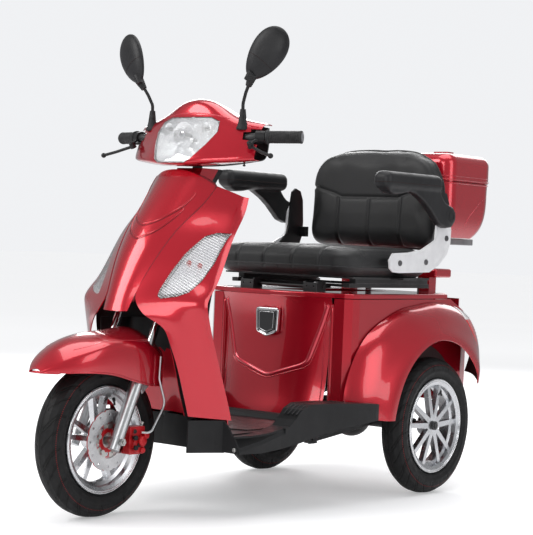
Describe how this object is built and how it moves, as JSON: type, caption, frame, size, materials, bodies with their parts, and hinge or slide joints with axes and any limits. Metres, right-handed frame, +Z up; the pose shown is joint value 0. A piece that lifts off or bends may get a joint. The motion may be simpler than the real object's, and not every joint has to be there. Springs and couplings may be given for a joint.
{
  "type": "mobility scooter",
  "caption": "Three-wheeled sit-on electric scooter with step-through floor, swivelling front fork, flip-up seat with folding armrests and a lidded rear top box.",
  "frame": {"origin": "on the ground plane under the centre of the bounding box", "axes": "+Z up, the front wheel leads towards -Y, +Y is the rear and the longest side, +X is the rider's left"},
  "size_m": [0.698, 1.847, 1.303],
  "materials": {
    "tyre": "matte moulded rubber",
    "rim_silver": "silver painted cast alloy with polished lip",
    "disc_steel": "ground steel",
    "chrome": "polished chrome",
    "satin_alloy": "satin",
    "zinc_steel": "zinc plated",
    "frame_black": "black powder coat",
    "grip_rubber": "matte rubber",
    "black_plastic": "fine grained black",
    "black_gloss": "gloss black",
    "red_body": "glossy metallic red lacquer",
    "red_metal": "red painted",
    "clear_lens": "clear moulded lens",
    "floor_plastic": "charcoal grained",
    "battery_case": "black case",
    "grey_metal": "grey paint",
    "seat_leather": "black leatherette",
    "white_metal": "white paint",
    "arm_black": "black integral skin foam"
  },
  "bodies": {
    "chassis": {"main_frame": "frame_black", "power_pack": "battery_case", "floor_tray": "floor_plastic", "floor_mat": "grip_rubber", "apron_center_panel": "red_body", "apron_side_left": "red_body", "apron_side_right": "red_body", "legshield_inner": "black_plastic", "turn_signals": "clear_lens", "seat_box_front": "red_body", "rear_body_shell": "red_body", "rear_fender_left": "red_body", "rear_fender_right": "red_body", "seat_box_deck": "red_body", "tail_lamps": "clear_lens", "trunk_carrier": "grey_metal", "trunk_base": "red_body", "shock_bodies": "frame_black", "shock_springs": "zinc_steel", "body_screws": "zinc_steel"},
    "steering": {"steering_stem": "frame_black", "fork_stanchions": "chrome", "handlebar": "frame_black", "headlight_housing": "red_body", "handlebar_rear_cover": "black_plastic", "headlight_lens": "clear_lens", "headlight_reflector": "chrome", "grip_left": "grip_rubber", "lever_perches": "black_plastic", "mirror_stalks": "black_plastic", "column_cover": "red_body"},
    "fork_lower": {"fork_sliders": "satin_alloy", "front_axle": "zinc_steel", "front_fender": "red_body", "brake_caliper": "red_metal"},
    "front_wheel": {"front_rim": "rim_silver", "front_tyre": "tyre", "brake_disc": "disc_steel"},
    "throttle": {"throttle_grip": "grip_rubber"},
    "lever_left": {"brake_lever_left": "black_plastic"},
    "lever_right": {"brake_lever_right": "black_plastic"},
    "mirror_l": {"mirror_left": "black_plastic"},
    "mirror_r": {"mirror_right": "black_plastic"},
    "key": {"ignition_key": "zinc_steel"},
    "horn": {"horn_button": "black_plastic"},
    "rear_axle": {"rear_axle_unit": "frame_black"},
    "rear_wheel_l": {"rear_rim_left": "rim_silver", "rear_tyre_left": "tyre"},
    "rear_wheel_r": {"rear_rim_right": "rim_silver", "rear_tyre_right": "tyre"},
    "seat_base": {"seat_hinge_frame": "frame_black"},
    "seat": {"seat_slider_frame": "frame_black", "seat_cushion": "seat_leather", "backrest_cushion": "seat_leather", "seat_side_brackets": "white_metal"},
    "arm_l": {"armrest_left": "arm_black"},
    "arm_r": {"armrest_right": "arm_black"},
    "lid": {"trunk_lid": "red_body"},
    "lid_lock": {"trunk_lock": "zinc_steel"},
    "latch": {"latch_paddle": "black_gloss"}
  },
  "joints": [
    {"name": "steering", "type": "hinge", "parent": "chassis", "child": "steering", "pos_m": [0, -0.2987, 1.01], "axis": [0, 0.4147, 0.91], "range_deg": [-35, 35]},
    {"name": "fork_travel", "type": "slide", "parent": "steering", "child": "fork_lower", "axis": [0, 0.4147, 0.91], "range_m": [0, 0.035], "stiffness_N_per_m": 12000, "springref_m": -0.06},
    {"name": "front_wheel_spin", "type": "hinge", "parent": "fork_lower", "child": "front_wheel", "pos_m": [0, -0.6952, 0.203], "axis": [1, 0, 0], "continuous": true},
    {"name": "throttle_turn", "type": "hinge", "parent": "steering", "child": "throttle", "pos_m": [-0.229, -0.3317, 1.01], "axis": [-0.9229, 0.3845, 0.0192], "range_deg": [0, 60]},
    {"name": "lever_left_pull", "type": "hinge", "parent": "steering", "child": "lever_left", "pos_m": [0.212, -0.3697, 0.983], "axis": [0.117, -0.4962, 0.8603], "range_deg": [0, 20]},
    {"name": "lever_right_pull", "type": "hinge", "parent": "steering", "child": "lever_right", "pos_m": [-0.212, -0.3697, 0.983], "axis": [0.117, 0.4962, -0.8603], "range_deg": [0, 20]},
    {"name": "mirror_left_turn", "type": "hinge", "parent": "steering", "child": "mirror_l", "pos_m": [0.19, -0.3607, 1.15], "axis": [0.5273, -0.1883, 0.8286], "range_deg": [-20, 20]},
    {"name": "mirror_right_turn", "type": "hinge", "parent": "steering", "child": "mirror_r", "pos_m": [-0.19, -0.3607, 1.15], "axis": [-0.5273, -0.1883, 0.8286], "range_deg": [-20, 20]},
    {"name": "horn_press", "type": "slide", "parent": "steering", "child": "horn", "axis": [0.3845, -0.9178, -0.0986], "range_m": [0, 0.002]},
    {"name": "key_turn", "type": "hinge", "parent": "chassis", "child": "key", "pos_m": [0.07, -0.3337, 0.775], "axis": [0, 1, 0], "range_deg": [0, 90]},
    {"name": "rear_suspension", "type": "hinge", "parent": "chassis", "child": "rear_axle", "pos_m": [0, 0.0783, 0.165], "axis": [1, 0, 0], "range_deg": [0, 3], "stiffness_Nm_per_rad": 9000, "springref_deg": -3.44, "deforming": ["shock_springs"]},
    {"name": "rear_left_spin", "type": "hinge", "parent": "rear_axle", "child": "rear_wheel_l", "pos_m": [0.304, 0.4078, 0.203], "axis": [1, 0, 0], "continuous": true},
    {"name": "rear_right_spin", "type": "hinge", "parent": "rear_axle", "child": "rear_wheel_r", "pos_m": [-0.304, 0.4078, 0.203], "axis": [1, 0, 0], "continuous": true},
    {"name": "seat_flip", "type": "hinge", "parent": "chassis", "child": "seat_base", "pos_m": [0, 0.0783, 0.607], "axis": [1, 0, 0], "range_deg": [0, 32]},
    {"name": "seat_slide", "type": "slide", "parent": "seat_base", "child": "seat", "axis": [0, -1, 0], "range_m": [0, 0.05]},
    {"name": "armrest_left_lift", "type": "hinge", "parent": "seat", "child": "arm_l", "pos_m": [0.29, 0.4783, 0.83], "axis": [-1, 0, 0], "range_deg": [0, 90]},
    {"name": "armrest_right_lift", "type": "hinge", "parent": "seat", "child": "arm_r", "pos_m": [-0.29, 0.4783, 0.83], "axis": [-1, 0, 0], "range_deg": [0, 90]},
    {"name": "trunk_lid_open", "type": "hinge", "parent": "chassis", "child": "lid", "pos_m": [0, 0.6403, 0.95], "axis": [1, 0, 0], "range_deg": [0, 55]},
    {"name": "trunk_lock_press", "type": "slide", "parent": "chassis", "child": "lid_lock", "axis": [0, -1, 0], "range_m": [0, 0.003]},
    {"name": "box_latch_pull", "type": "hinge", "parent": "chassis", "child": "latch", "pos_m": [0, 0.0083, 0.529], "axis": [-1, 0, 0], "range_deg": [0, 12]}
  ]
}
